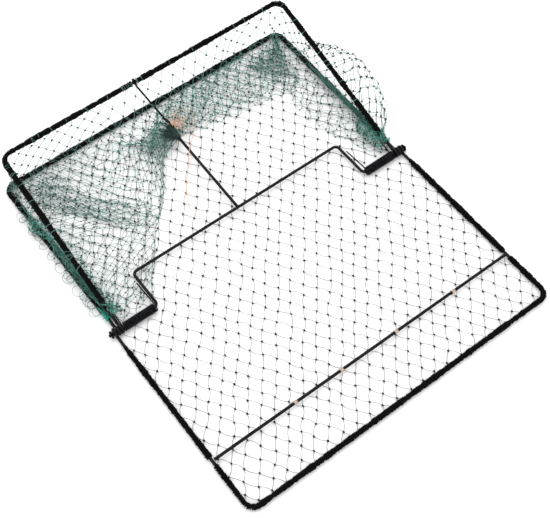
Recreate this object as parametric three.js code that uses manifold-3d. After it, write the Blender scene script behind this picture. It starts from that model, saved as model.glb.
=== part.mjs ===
// Folding net trap: two flat U frames hinged together, a sprung capture frame that a pin and a trigger hold
// down, and the nets they carry. Millimetres, +Z up, +Y from the open front half to the rear half.
import * as THREE from "three";
import { mergeVertices } from "three/addons/utils/BufferGeometryUtils.js";
import Module from "manifold-3d";

const wasm = await Module();
wasm.setup();

// Hinge line: every frame turns about this axle.
const HINGE_Y = 4;
const HINGE_Z = 7.3;
const AXLE_RADIUS = 2.2;
const AXLE_END_X = 259;
const EYE_MEAN_RADIUS = 4.9;

// Frames are bent from round wire and wrapped in cord lashing.
const WIRE_RADIUS = 2.3;
const LASHING_INNER = 2.6;
const LASHING_OUTER = 4.2;
const BASE_BAR_Z = 4.2;
const CORNER_RADIUS = 14;
const CORNER_STEPS = 5;
const WIRE_SIDES = 8;
const RING_SIDES = 16;
const SMALL_ROUND_SIDES = 12;

const FRONT_EYE_X = 250;
const FRONT_CORNER_X = 250;
const FRONT_LENGTH = 308;
const REAR_EYE_X = 244.9;
const REAR_CORNER_X = 247.5;
const REAR_LENGTH = 300;
const CAPTURE_EYE_X = 239.8;
const CAPTURE_CORNER_X = 242;
const CAPTURE_LENGTH = 296;
const CAPTURE_TILT = THREE.MathUtils.degToRad(16.6);

const FRONT_LASHING_START = 30;
const REAR_LASHING_START = 37;
const CAPTURE_LASHING_START = 30;
const NET_TIE_START = 21;
const NET_TIE_END = 35;

// Crossbar between the front side bars, with four thread ties.
const CROSSBAR_S = 227;
const CROSSBAR_Z = 6.4;
const CROSSBAR_GAP = 6;
const CROSSBAR_END_X = 247.3;
const CROSSBAR_RADIUS = 2.2;
const TIE_XS = [-120, -44, 49, 150];
const TIE_LENGTH = 8;
const TIE_INNER = 2.5;
const TIE_OUTER = 3.5;

// Yoke rod with the arm that carries the trigger.
const YOKE_LEG_X = 180;
const YOKE_DEPTH = 64;
const YOKE_BEND = 7;
const ARM_GAP = 0.4;
const ARM_END = 236;
const ARM_END_Z = 19;
const ARM_EYE_MEAN = 3.1;
const ARM_EYE_WIRE = 1.5;

// Torsion springs on the axle.
const SPRING_WIRE = 0.95;
const SPRING_MEAN = 5.7;
const SPRING_INNER_X = 184.6;
const SPRING_OUTER_X = 235.4;
const SPRING_TURNS = 22;
const SPRING_STEPS_PER_TURN = 6;
const SPRING_SIDES = 6;
const INNER_TANG = 46;
const INNER_TANG_RISE = 1;
const OUTER_TANG = 42;

const RETAINER_X = 255.2;
const RETAINER_MEAN = 4.2;
const RETAINER_WIRE = 1.7;

// Release pin: an eye round the capture frame's back bar, a long shank and a foot under the trigger's nose.
const PIN_X = -21;
const PIN_EYE_MEAN = 4.5;
const PIN_RADIUS = 1.5;
const PIN_FOOT_X = 3.9;
const PIN_HEEL_S = 256;
const PIN_TOE_S = 247;
const PIN_FOOT_Z = 15.4;
const PIN_LASHING_GAP = 5;
const PIN_HEEL_RADIUS = 3;
const PIN_HEEL_STEPS = 3;

// Trigger lever: a flat plate beside the arm's eye.
const LEVER_NEAR_X = 2.6;
const LEVER_FAR_X = 5.2;
const LEVER_HOLE = 1.6;
const PIVOT_RADIUS = 1.25;
const PIVOT_HEAD = 2.9;
const PIVOT_HEAD_X = [-3.4, 6.8];
const PIVOT_HEAD_THICKNESS = 1.2;

// Nets: flat sheets in this model.
const BASE_NET_X = 240;
const BASE_NET_Z = [1, 2.2];
const BASE_NET_START = 26;
const BASE_NET_BACK = 9;
const BAG_Z = [2.8, 5.8];

// Bait thread, from the arm's end down to the rear net.
const THREAD_RADIUS = 0.5;
const THREAD_SIDES = 8;
const THREAD_STEPS = 76;
const THREAD_ROUTE = [
  [9, 238, 21],
  [20, 254, 17],
  [35, 258, 12],
  [44, 250, 9.5],
  [41, 232, 8.5],
  [31, 218, 8.5],
  [18, 204, 13],
  [6, 191, 18.6],
  [-4, 180, 18.6],
  [-16, 166, 12],
  [-28, 152, 6.5],
  [-44, 130, 4],
  [-53, 110, 3.4],
  [-56, 91, 3.2],
];

/** Points closer than this are one corner. */
const SAME_POINT = 1e-4;

/** A path through fixed points, sampled only at those points. */
class PointPath extends THREE.Curve {
  constructor(points) {
    super();
    this.points = points;
  }

  getPointAt(t) {
    return this.points[Math.round(t * (this.points.length - 1))].clone();
  }

  getTangentAt(t) {
    const last = this.points.length - 1;
    const index = Math.round(t * last);
    const tangent = new THREE.Vector3();
    if (index > 0) {
      tangent.add(this.points[index].clone().sub(this.points[index - 1]).normalize());
    }
    if (index < last) {
      tangent.add(this.points[index + 1].clone().sub(this.points[index]).normalize());
    }
    return tangent.normalize();
  }
}

/** Joins equal corners and turns the faces outwards. */
function closed(geometry) {
  const bare = geometry.index ? geometry.toNonIndexed() : geometry.clone();
  bare.deleteAttribute("normal");
  bare.deleteAttribute("uv");
  const solid = mergeVertices(bare, SAME_POINT);
  const points = solid.attributes.position;
  const index = solid.index.array;
  const corner = [new THREE.Vector3(), new THREE.Vector3(), new THREE.Vector3()];
  let volume = 0;
  for (let i = 0; i < index.length; i += 3) {
    corner.forEach((point, k) => point.fromBufferAttribute(points, index[i + k]));
    volume += corner[0].dot(corner[1].clone().cross(corner[2]));
  }
  if (volume < 0) {
    for (let i = 0; i < index.length; i += 3) {
      [index[i], index[i + 1]] = [index[i + 1], index[i]];
    }
  }
  return solid;
}

function toManifold(geometry) {
  const solid = closed(geometry);
  const mesh = new wasm.Mesh({
    numProp: 3,
    vertProperties: new Float32Array(solid.attributes.position.array),
    triVerts: new Uint32Array(solid.index.array),
  });
  return new wasm.Manifold(mesh);
}

function union(parts) {
  const result = parts.map(toManifold).reduce((whole, part) => whole.add(part));
  const mesh = result.getMesh();
  const geometry = new THREE.BufferGeometry();
  geometry.setAttribute("position", new THREE.BufferAttribute(mesh.vertProperties, 3));
  geometry.setIndex(new THREE.BufferAttribute(mesh.triVerts, 1));
  return geometry;
}

/** A polygon with a flat side down, whose flats are `radius` from its centre. */
function polygon(radius, sides) {
  const outer = radius / Math.cos(Math.PI / sides);
  const points = [];
  for (let i = 0; i < sides; i += 1) {
    const angle = ((i + 0.5) * 2 * Math.PI) / sides;
    points.push(new THREE.Vector2(outer * Math.cos(angle), outer * Math.sin(angle)));
  }
  return points;
}

function sweep(points, shape) {
  const path = new PointPath(points);
  return new THREE.ExtrudeGeometry(shape, {
    steps: points.length - 1,
    extrudePath: path,
    bevelEnabled: false,
  });
}

function rod(points, radius, sides = WIRE_SIDES) {
  return sweep(points, new THREE.Shape(polygon(radius, sides)));
}

function sleeve(points, inner, outer) {
  const shape = new THREE.Shape(polygon(outer, WIRE_SIDES));
  shape.holes.push(new THREE.Path(polygon(inner, WIRE_SIDES).reverse()));
  return sweep(points, shape);
}

/** Corner points with every inner corner rounded to the radius. */
function rounded(corners, radius, steps = CORNER_STEPS) {
  const points = [corners[0]];
  for (let i = 1; i < corners.length - 1; i += 1) {
    const inward = corners[i].clone().sub(corners[i - 1]).normalize();
    const outward = corners[i + 1].clone().sub(corners[i]).normalize();
    const turn = inward.angleTo(outward);
    const start = corners[i].clone().addScaledVector(inward, -radius * Math.tan(turn / 2));
    const bisector = outward.clone().sub(inward).normalize();
    const centre = corners[i].clone().addScaledVector(bisector, radius / Math.cos(turn / 2));
    const spoke = start.clone().sub(centre);
    for (let k = 0; k <= steps; k += 1) {
      const angle = (turn * k) / steps;
      const point = centre.clone().addScaledVector(spoke, Math.cos(angle));
      points.push(point.addScaledVector(inward, radius * Math.sin(angle)));
    }
  }
  points.push(corners[corners.length - 1]);
  return points;
}

/** A ring of round wire about an axis along X. */
function ring(x, y, z, mean, wire) {
  const profile = polygon(wire, WIRE_SIDES).map((p) => new THREE.Vector2(p.x + mean, p.y));
  profile.push(profile[0].clone());
  const geometry = new THREE.LatheGeometry(profile, RING_SIDES);
  geometry.rotateZ(Math.PI / 2);
  geometry.translate(x, y, z);
  return geometry;
}

const FRONT = {
  eyeX: FRONT_EYE_X,
  cornerX: FRONT_CORNER_X,
  length: FRONT_LENGTH,
  point: (x, s) => new THREE.Vector3(x, HINGE_Y - s, BASE_BAR_Z),
};
const REAR = {
  eyeX: REAR_EYE_X,
  cornerX: REAR_CORNER_X,
  length: REAR_LENGTH,
  point: (x, s) => new THREE.Vector3(x, HINGE_Y + s, BASE_BAR_Z),
};
const CAPTURE = {
  eyeX: CAPTURE_EYE_X,
  cornerX: CAPTURE_CORNER_X,
  length: CAPTURE_LENGTH,
  point: (x, s) => {
    const y = HINGE_Y + s * Math.cos(CAPTURE_TILT);
    return new THREE.Vector3(x, y, HINGE_Z + s * Math.sin(CAPTURE_TILT));
  },
};

/** Half the frame's width at distance s from the hinge. */
function halfWidth(frame, s) {
  return frame.eyeX + ((frame.cornerX - frame.eyeX) * s) / frame.length;
}

/** The U of a frame from distance s on one side to distance s on the other. */
function uPath(frame, s) {
  const near = halfWidth(frame, s);
  return rounded([
    frame.point(-near, s),
    frame.point(-frame.cornerX, frame.length),
    frame.point(frame.cornerX, frame.length),
    frame.point(near, s),
  ], CORNER_RADIUS);
}

/** The L of a frame from distance s on one side to x on its back bar. */
function halfPath(frame, side, s, x) {
  return rounded([
    frame.point(side * halfWidth(frame, s), s),
    frame.point(side * frame.cornerX, frame.length),
    frame.point(x, frame.length),
  ], CORNER_RADIUS);
}

function sidePath(frame, side, from, to) {
  return [
    frame.point(side * halfWidth(frame, from), from),
    frame.point(side * halfWidth(frame, to), to),
  ];
}

/** Where a level bar's centre line meets its eye, measured from the hinge. */
const LEVEL_BAR_START = Math.sqrt(EYE_MEAN_RADIUS ** 2 - (HINGE_Z - BASE_BAR_Z) ** 2);

function frameWire(frame, start) {
  return union([
    rod(uPath(frame, start), WIRE_RADIUS),
    ring(-frame.eyeX, HINGE_Y, HINGE_Z, EYE_MEAN_RADIUS, WIRE_RADIUS),
    ring(frame.eyeX, HINGE_Y, HINGE_Z, EYE_MEAN_RADIUS, WIRE_RADIUS),
  ]);
}

function yoke() {
  const v = (x, y) => new THREE.Vector3(x, HINGE_Y + y, HINGE_Z);
  return rod(rounded([
    v(-AXLE_END_X, 0),
    v(-YOKE_LEG_X, 0),
    v(-YOKE_LEG_X, YOKE_DEPTH),
    v(YOKE_LEG_X, YOKE_DEPTH),
    v(YOKE_LEG_X, 0),
    v(AXLE_END_X, 0),
  ], YOKE_BEND), AXLE_RADIUS);
}

function arm() {
  const start = HINGE_Y + YOKE_DEPTH + AXLE_RADIUS + ARM_GAP;
  const end = HINGE_Y + ARM_END;
  const shank = rod([
    new THREE.Vector3(0, start, HINGE_Z),
    new THREE.Vector3(0, end - ARM_EYE_MEAN, ARM_END_Z),
  ], AXLE_RADIUS);
  return union([shank, ring(0, end, ARM_END_Z, ARM_EYE_MEAN, ARM_EYE_WIRE)]);
}

/** Coil on the axle: its inner tang lies along the yoke's leg and its outer one along the capture frame. */
function spring(side) {
  const points = [];
  points.push(new THREE.Vector3(side * SPRING_INNER_X, HINGE_Y + INNER_TANG, HINGE_Z + INNER_TANG_RISE));
  const sweepAngle = SPRING_TURNS * 2 * Math.PI + Math.PI + CAPTURE_TILT;
  const steps = Math.round((sweepAngle / (2 * Math.PI)) * SPRING_STEPS_PER_TURN);
  for (let i = 0; i <= steps; i += 1) {
    const angle = (sweepAngle * i) / steps;
    const x = SPRING_INNER_X + ((SPRING_OUTER_X - SPRING_INNER_X) * i) / steps;
    const y = HINGE_Y - SPRING_MEAN * Math.sin(angle);
    points.push(new THREE.Vector3(side * x, y, HINGE_Z + SPRING_MEAN * Math.cos(angle)));
  }
  const last = points[points.length - 1].clone();
  last.y += OUTER_TANG * Math.cos(CAPTURE_TILT);
  last.z += OUTER_TANG * Math.sin(CAPTURE_TILT);
  points.push(last);
  return rod(points, SPRING_WIRE, SPRING_SIDES);
}

function crossbar() {
  const y = HINGE_Y - CROSSBAR_S;
  return rod([
    new THREE.Vector3(-CROSSBAR_END_X, y, CROSSBAR_Z),
    new THREE.Vector3(CROSSBAR_END_X, y, CROSSBAR_Z),
  ], CROSSBAR_RADIUS);
}

function crossbarTie(x) {
  const y = HINGE_Y - CROSSBAR_S;
  return sleeve([
    new THREE.Vector3(x - TIE_LENGTH / 2, y, CROSSBAR_Z),
    new THREE.Vector3(x + TIE_LENGTH / 2, y, CROSSBAR_Z),
  ], TIE_INNER, TIE_OUTER);
}

function releasePin() {
  const eye = CAPTURE.point(PIN_X, CAPTURE_LENGTH);
  const heel = new THREE.Vector3(PIN_FOOT_X, HINGE_Y + PIN_HEEL_S, PIN_FOOT_Z);
  const toe = new THREE.Vector3(PIN_FOOT_X, HINGE_Y + PIN_TOE_S, PIN_FOOT_Z);
  const down = heel.clone().sub(eye);
  down.x = 0;
  const start = eye.clone().addScaledVector(down.normalize(), PIN_EYE_MEAN);
  const shank = rod(rounded([start, heel, toe], PIN_HEEL_RADIUS, PIN_HEEL_STEPS), PIN_RADIUS);
  return union([shank, ring(eye.x, eye.y, eye.z, PIN_EYE_MEAN, PIN_RADIUS)]);
}

/** Side view of the lever as [along Y, up] from its pivot: a nose to the rear and a bait stem to the front. */
const LEVER_OUTLINE = [
  [-22, -3.8],
  [-21, -6.2],
  [-4, -3.2],
  [2, -3.6],
  [5, -1.2],
  [15.5, -1.2],
  [15.5, 1.8],
  [5, 2.6],
  [1, 3.8],
  [-3, 3],
  [-8, -0.6],
];

function lever() {
  const shape = new THREE.Shape(LEVER_OUTLINE.map(([y, z]) => new THREE.Vector2(y, z)));
  shape.holes.push(new THREE.Path(polygon(LEVER_HOLE, SMALL_ROUND_SIDES).reverse()));
  const depth = LEVER_FAR_X - LEVER_NEAR_X;
  const geometry = new THREE.ExtrudeGeometry(shape, { depth, bevelEnabled: false });
  const alongY = new THREE.Vector3(0, 1, 0);
  const up = new THREE.Vector3(0, 0, 1);
  const alongX = new THREE.Vector3(1, 0, 0);
  geometry.applyMatrix4(new THREE.Matrix4().makeBasis(alongY, up, alongX));
  geometry.translate(LEVER_NEAR_X, HINGE_Y + ARM_END, ARM_END_Z);
  return geometry;
}

function pivotPin() {
  const [left, right] = PIVOT_HEAD_X;
  const profile = [
    [0, left],
    [PIVOT_HEAD, left],
    [PIVOT_HEAD, left + PIVOT_HEAD_THICKNESS],
    [PIVOT_RADIUS, left + PIVOT_HEAD_THICKNESS],
    [PIVOT_RADIUS, right - PIVOT_HEAD_THICKNESS],
    [PIVOT_HEAD, right - PIVOT_HEAD_THICKNESS],
    [PIVOT_HEAD, right],
    [0, right],
  ];
  const points = profile.map(([radius, x]) => new THREE.Vector2(radius, -x));
  const geometry = new THREE.LatheGeometry(points, SMALL_ROUND_SIDES);
  geometry.rotateZ(Math.PI / 2);
  geometry.translate(0, HINGE_Y + ARM_END, ARM_END_Z);
  return geometry;
}

/** A flat sheet with the outline given as [x, distance from the hinge]. */
function plate(outline, direction, [low, high]) {
  const corners = outline.map(([x, s]) => new THREE.Vector2(x, HINGE_Y + direction * s));
  const shape = new THREE.Shape(corners);
  const geometry = new THREE.ExtrudeGeometry(shape, { depth: high - low, bevelEnabled: false });
  geometry.translate(0, 0, low);
  return geometry;
}

function baseNet(length, direction) {
  const far = length - BASE_NET_BACK;
  return plate([
    [-BASE_NET_X, BASE_NET_START],
    [BASE_NET_X, BASE_NET_START],
    [BASE_NET_X, far],
    [-BASE_NET_X, far],
  ], direction, BASE_NET_Z);
}

/** The gathered bag lies along both sides and the back of the rear half, open round the arm. */
const BAG_OUTLINE = [
  [-232, 14],
  [-190, 14],
  [-188, 70],
  [-122, 72],
  [-100, 96],
  [-56, 165],
  [-22, 236],
  [-8, 262],
  [12, 262],
  [30, 212],
  [90, 204],
  [164, 190],
  [178, 150],
  [184, 103],
  [200, 69],
  [215, 41],
  [224, 14],
  [232, 14],
  [232, 288],
  [-232, 288],
];

function baitThread() {
  const knots = THREAD_ROUTE.map(([x, s, z]) => new THREE.Vector3(x, HINGE_Y + s, z));
  const curve = new THREE.CatmullRomCurve3(knots, false, "centripetal");
  return rod(curve.getSpacedPoints(THREAD_STEPS), THREAD_RADIUS, THREAD_SIDES);
}

/** Colour, roughness and metalness of each material. */
const MATERIALS = {
  black_enamel: [0x17181b, 0.35, 0.6],
  black_lashing: [0x1d1c1e, 0.9, 0],
  spring_steel: [0x2a2b2e, 0.4, 0.9],
  base_twine: [0x4a4b4a, 0.85, 0],
  green_twine: [0x1f6d5f, 0.8, 0],
  tan_thread: [0xb98a55, 0.8, 0],
  oxide_steel: [0x1c1c1e, 0.4, 0.9],
};

const group = new THREE.Group();

function add(name, geometry, finish) {
  const [color, roughness, metalness] = MATERIALS[finish];
  const material = new THREE.MeshStandardMaterial({ color, roughness, metalness });
  const mesh = new THREE.Mesh(closed(geometry), material);
  mesh.name = name;
  group.add(mesh);
}

const afterBar = CROSSBAR_S + CROSSBAR_GAP;
const beforeBar = CROSSBAR_S - CROSSBAR_GAP;

add("rear_frame", frameWire(REAR, LEVEL_BAR_START), "black_enamel");
add("rear_lashing", sleeve(uPath(REAR, REAR_LASHING_START), LASHING_INNER, LASHING_OUTER), "black_lashing");
add("rear_net", baseNet(REAR_LENGTH, 1), "base_twine");
add("yoke_bar", yoke(), "black_enamel");
add("trigger_arm", arm(), "black_enamel");
add("trigger_pivot_pin", pivotPin(), "oxide_steel");
add("bag_net", plate(BAG_OUTLINE, 1, BAG_Z), "green_twine");
add("bait_thread", baitThread(), "tan_thread");

for (const [name, side] of [["left", -1], ["right", 1]]) {
  const tie = sidePath(REAR, side, NET_TIE_START, NET_TIE_END);
  add(`${name}_net_tie`, sleeve(tie, LASHING_INNER, LASHING_OUTER), "green_twine");
  add(`${name}_torsion_spring`, spring(side), "spring_steel");
  const retainer = ring(side * RETAINER_X, HINGE_Y, HINGE_Z, RETAINER_MEAN, RETAINER_WIRE);
  add(`${name}_retaining_ring`, retainer, "oxide_steel");
  const wrap = sidePath(FRONT, side, FRONT_LASHING_START, beforeBar);
  add(`front_${name}_lashing`, sleeve(wrap, LASHING_INNER, LASHING_OUTER), "black_lashing");
  const cut = PIN_X + side * PIN_LASHING_GAP;
  const half = halfPath(CAPTURE, side, CAPTURE_LASHING_START, cut);
  add(`capture_${name}_lashing`, sleeve(half, LASHING_INNER, LASHING_OUTER), "black_lashing");
}

add("front_frame", frameWire(FRONT, LEVEL_BAR_START), "black_enamel");
add("front_lashing", sleeve(uPath(FRONT, afterBar), LASHING_INNER, LASHING_OUTER), "black_lashing");
add("front_crossbar", crossbar(), "black_enamel");
add("front_net", baseNet(FRONT_LENGTH, -1), "base_twine");
TIE_XS.forEach((x, index) => add(`crossbar_tie_${index + 1}`, crossbarTie(x), "tan_thread"));

add("capture_frame", frameWire(CAPTURE, EYE_MEAN_RADIUS), "black_enamel");
add("release_pin", releasePin(), "oxide_steel");
add("trigger_lever", lever(), "oxide_steel");

export default group;
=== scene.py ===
"""Folding net trap: cord-lashed steel frames, torsion springs, a pin and trigger, and knotted twine nets.

Pieces are worked out in millimetres and put into Blender in metres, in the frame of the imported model.
"""

import math

import bpy
import numpy as np
from mathutils import Matrix, Vector


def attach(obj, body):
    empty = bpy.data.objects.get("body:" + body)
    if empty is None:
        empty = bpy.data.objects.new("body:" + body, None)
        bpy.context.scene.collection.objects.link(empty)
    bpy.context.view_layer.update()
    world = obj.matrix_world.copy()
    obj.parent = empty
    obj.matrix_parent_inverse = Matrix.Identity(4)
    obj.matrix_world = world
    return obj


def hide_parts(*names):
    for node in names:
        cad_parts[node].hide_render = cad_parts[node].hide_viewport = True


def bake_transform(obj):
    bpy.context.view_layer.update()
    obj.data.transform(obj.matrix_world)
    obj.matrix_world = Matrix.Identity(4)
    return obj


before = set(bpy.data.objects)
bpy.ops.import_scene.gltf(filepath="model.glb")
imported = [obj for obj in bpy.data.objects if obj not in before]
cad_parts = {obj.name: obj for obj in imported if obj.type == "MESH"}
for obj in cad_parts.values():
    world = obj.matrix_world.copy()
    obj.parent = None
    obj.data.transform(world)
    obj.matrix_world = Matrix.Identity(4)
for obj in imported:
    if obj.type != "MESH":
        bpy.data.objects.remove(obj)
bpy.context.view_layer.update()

MM = 0.001

# Hinge axle and frames
HINGE_Y = 4.0
HINGE_Z = 7.3
AXLE_RADIUS = 2.2
AXLE_END_X = 259.0
WIRE_RADIUS = 2.3
EYE_MEAN = 4.9
BAR_Z = 4.2
CORNER_RADIUS = 14.0
LASHING_RADIUS = 4.2
CAPTURE_TILT = math.radians(16.6)

# Eye half-width at the hinge, half-width at the far corners, length
FRONT = {"eye": 250.0, "corner": 250.0, "length": 308.0, "way": -1.0, "tilt": 0.0, "z": BAR_Z}
REAR = {"eye": 244.9, "corner": 247.5, "length": 300.0, "way": 1.0, "tilt": 0.0, "z": BAR_Z}
CAPTURE = {"eye": 239.8, "corner": 242.0, "length": 296.0, "way": 1.0, "tilt": CAPTURE_TILT, "z": HINGE_Z}
LEVEL_BAR_START = math.sqrt(EYE_MEAN ** 2 - (HINGE_Z - BAR_Z) ** 2)

CROSSBAR_S = 227.0
CROSSBAR_Z = 6.4
CROSSBAR_GAP = 6.0
CROSSBAR_HALF = 247.3
TIE_XS = (-120.0, -44.0, 49.0, 150.0)

YOKE_LEG_X = 180.0
YOKE_DEPTH = 64.0
ARM_END = 236.0
ARM_END_Z = 19.0

PIN_X = -21.0
PIN_LASHING_GAP = 5.0

SIDES = (("left", -1), ("right", 1))

RNG = np.random.default_rng(7)


# ---------------------------------------------------------------- nodes and materials


def linear(colour):
    """An sRGB hex value as linear red, green, blue and alpha."""
    parts = [((colour >> shift) & 255) / 255 for shift in (16, 8, 0)]
    return [p / 12.92 if p <= 0.04045 else ((p + 0.055) / 1.055) ** 2.4 for p in parts] + [1.0]


def node(tree, kind, inputs=None, **settings):
    """Adds a node with its settings, and sets or links its inputs."""
    made = tree.nodes.new(kind)
    for name, value in settings.items():
        setattr(made, name, value)
    for name, value in (inputs or {}).items():
        if isinstance(value, bpy.types.NodeSocket):
            tree.links.new(value, made.inputs[name])
        else:
            made.inputs[name].default_value = value
    return made


def new_material(name, **shader_values):
    """A material with one Principled shader, its plain values set on its own sockets."""
    material = bpy.data.materials.new(name)
    material.use_nodes = True
    tree = material.node_tree
    tree.nodes.clear()
    shader = node(tree, "ShaderNodeBsdfPrincipled", shader_values)
    node(tree, "ShaderNodeOutputMaterial", {"Surface": shader.outputs["BSDF"]})
    return material, tree, shader


def pattern(tree, per_mm, detail=3.0):
    """Noise with about that many grains in a millimetre."""
    place = node(tree, "ShaderNodeTexCoord")
    noise = node(tree, "ShaderNodeTexNoise", {
        "Vector": place.outputs["Object"],
        "Scale": per_mm / MM,
        "Detail": detail,
        "Roughness": 0.6,
    })
    return noise.outputs["Fac"]


def colour_between(tree, shader, factor, low, high, edges=(0.35, 0.65)):
    """Base colour between two hex values, by a pattern."""
    spread = node(tree, "ShaderNodeMapRange", {
        "Value": factor,
        "From Min": edges[0],
        "From Max": edges[1],
    })
    mix = node(tree, "ShaderNodeMix", {
        0: spread.outputs["Result"],
        6: linear(low),
        7: linear(high),
    }, data_type="RGBA")
    tree.links.new(mix.outputs[2], shader.inputs["Base Color"])


def roughness_between(tree, shader, factor, low, high):
    spread = node(tree, "ShaderNodeMapRange", {
        "Value": factor,
        "From Min": 0.3,
        "From Max": 0.7,
        "To Min": low,
        "To Max": high,
    })
    tree.links.new(spread.outputs["Result"], shader.inputs["Roughness"])


def bump(tree, shader, height, depth_mm):
    made = node(tree, "ShaderNodeBump", {"Height": height, "Distance": depth_mm * MM})
    tree.links.new(made.outputs["Normal"], shader.inputs["Normal"])


def enamelled_steel():
    """Black stoving enamel, dipped: a soft gloss with faint orange peel and duller, dusty patches."""
    material, tree, shader = new_material("black_enamel_dipped", **{"IOR": 1.5, "Specular IOR Level": 0.15})
    peel = pattern(tree, 0.9, detail=2.0)
    dust = pattern(tree, 0.06)
    colour_between(tree, shader, dust, 0x030304, 0x0F0F11, (0.4, 0.75))
    roughness_between(tree, shader, dust, 0.16, 0.32)
    bump(tree, shader, peel, 0.05)
    return material


def oiled_steel(name, low, high, rough):
    """Drawn steel wire, blackened in hot oil: nearly black metal with a satin gleam."""
    material, tree, shader = new_material(name, Metallic=1.0)
    stain = pattern(tree, 0.35)
    colour_between(tree, shader, stain, low, high)
    roughness_between(tree, shader, stain, rough, rough + 0.18)
    bump(tree, shader, pattern(tree, 3.0), 0.01)
    return material


def staple_cord():
    """Black staple-fibre cord, wound wet and dried: matt, dry fibres with greyer crests."""
    material, tree, shader = new_material("staple_cord_wound", **{
        "Specular IOR Level": 0.06,
        "Sheen Weight": 0.03,
        "Sheen Roughness": 0.5,
    })
    fibres = pattern(tree, 2.2, detail=4.0)
    colour_between(tree, shader, fibres, 0x010101, 0x121110, (0.42, 0.78))
    roughness_between(tree, shader, fibres, 0.75, 0.95)
    bump(tree, shader, fibres, 0.3)
    return material


def twisted_twine(name, low, high, sheen, per_mm=1.6, edges=(0.3, 0.7)):
    """Three-ply nylon twine: a slightly glossy thread whose plies show as fine light and dark flecks."""
    material, tree, shader = new_material(name, **{
        "Specular IOR Level": 0.4,
        "Sheen Weight": sheen,
        "Sheen Roughness": 0.4,
    })
    plies = pattern(tree, 1.6, detail=2.0)
    dye = pattern(tree, per_mm, detail=2.0)
    colour_between(tree, shader, dye, low, high, edges)
    roughness_between(tree, shader, plies, 0.45, 0.7)
    bump(tree, shader, plies, 0.12)
    return material


def paper_floor():
    """Seamless paper, matt and almost white."""
    material, tree, shader = new_material("paper_seamless", **{"Specular IOR Level": 0.1})
    grain = pattern(tree, 0.4)
    colour_between(tree, shader, grain, 0xFCFCFC, 0xFEFEFE)
    roughness_between(tree, shader, grain, 0.9, 1.0)
    return material


# ---------------------------------------------------------------- mesh code


def unit(vectors):
    length = np.linalg.norm(vectors, axis=-1, keepdims=True)
    return vectors / np.maximum(length, 1e-9)


def tubes(paths, radius, sides):
    """Closed round tubes, as (points, quads), along rows of as many points. radius may vary along each."""
    paths = np.asarray(paths, float)
    count, steps, _ = paths.shape
    tangent = unit(np.gradient(paths, axis=1))
    upright = np.abs(tangent[:, 0, 2:3]) < 0.9
    aside = np.where(upright, [[0.0, 0.0, 1.0]], [[1.0, 0.0, 0.0]])
    normal = unit(np.cross(tangent[:, 0], aside))
    normals = np.empty_like(paths)
    for k in range(steps):
        along = np.sum(normal * tangent[:, k], axis=1, keepdims=True)
        normal = unit(normal - along * tangent[:, k])
        normals[:, k] = normal
    others = np.cross(tangent, normals)
    angle = np.arange(sides) * 2 * math.pi / sides
    radius = np.broadcast_to(np.asarray(radius, float), (count, steps))[:, :, None, None]
    ring = normals[:, :, None] * np.cos(angle)[:, None] + others[:, :, None] * np.sin(angle)[:, None]
    points = (paths[:, :, None] + radius * ring).reshape(-1, 3)

    k, i = np.meshgrid(np.arange(steps - 1), np.arange(sides), indexing="ij")
    j = (i + 1) % sides
    wall = np.stack([k * sides + i, k * sides + j, (k + 1) * sides + j, (k + 1) * sides + i], -1)
    fan = np.array([[0, n, n + 1, n + 2] for n in range(1, sides - 2, 2)])
    last = (steps - 1) * sides
    quads = np.concatenate([wall.reshape(-1, 4), fan[:, ::-1], fan + last])
    offsets = np.arange(count)[:, None, None] * steps * sides
    return points, (quads[None] + offsets).reshape(-1, 4)


def joined(*parts):
    """Several (points, quads) as one."""
    points = []
    quads = []
    start = 0
    for some_points, some_quads in parts:
        points.append(some_points)
        quads.append(some_quads + start)
        start += len(some_points)
    return np.concatenate(points), np.concatenate(quads)


def add_object(name, data):
    made = bpy.data.objects.new(name, data)
    bpy.context.scene.collection.objects.link(made)
    return made


def add_polyline(curve, points, closed=False):
    spline = curve.splines.new("POLY")
    spline.points.add(len(points) - 1)
    for point, place in zip(spline.points, points):
        point.co = (*place, 1)
    spline.use_cyclic_u = closed


def add_mesh(name, shape, material, *more):
    """A mesh object from points in millimetres. more holds further shape and material pairs."""
    shapes = [shape] + [extra for extra, _ in more]
    points, quads = joined(*shapes)
    mesh = bpy.data.meshes.new(name)
    mesh.vertices.add(len(points))
    mesh.vertices.foreach_set("co", (points * MM).astype(np.float32).ravel())
    mesh.loops.add(quads.size)
    mesh.loops.foreach_set("vertex_index", quads.astype(np.int32).ravel())
    mesh.polygons.add(len(quads))
    mesh.polygons.foreach_set("loop_start", np.arange(0, quads.size, 4, dtype=np.int32))
    mesh.polygons.foreach_set("use_smooth", np.ones(len(quads), bool))
    for own in (material, *(extra for _, extra in more)):
        mesh.materials.append(own)
    which = np.repeat(np.arange(len(shapes)), [len(part[1]) for part in shapes])
    mesh.polygons.foreach_set("material_index", which.astype(np.int32))
    mesh.update(calc_edges=True)
    return add_object(name, mesh)


def settle(piece, body, slot, *nodes):
    """Rides the piece on its body, in place of those CAD nodes. The slot is not used."""
    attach(piece, body)
    if nodes:
        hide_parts(*nodes)


def rounded(corners, radius, steps=8):
    """Corner points with every inner corner turned into an arc."""
    corners = [np.asarray(c, float) for c in corners]
    points = [corners[0]]
    for before, corner, after in zip(corners, corners[1:], corners[2:]):
        inward = unit(corner - before)
        outward = unit(after - corner)
        turn = math.acos(max(-1.0, min(1.0, float(inward @ outward))))
        start = corner - inward * radius * math.tan(turn / 2)
        centre = corner + unit(outward - inward) * radius / math.cos(turn / 2)
        for angle in np.linspace(0, turn, steps + 1):
            points.append(centre + (start - centre) * math.cos(angle) + inward * radius * math.sin(angle))
    points.append(corners[-1])
    return np.array(points)


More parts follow.
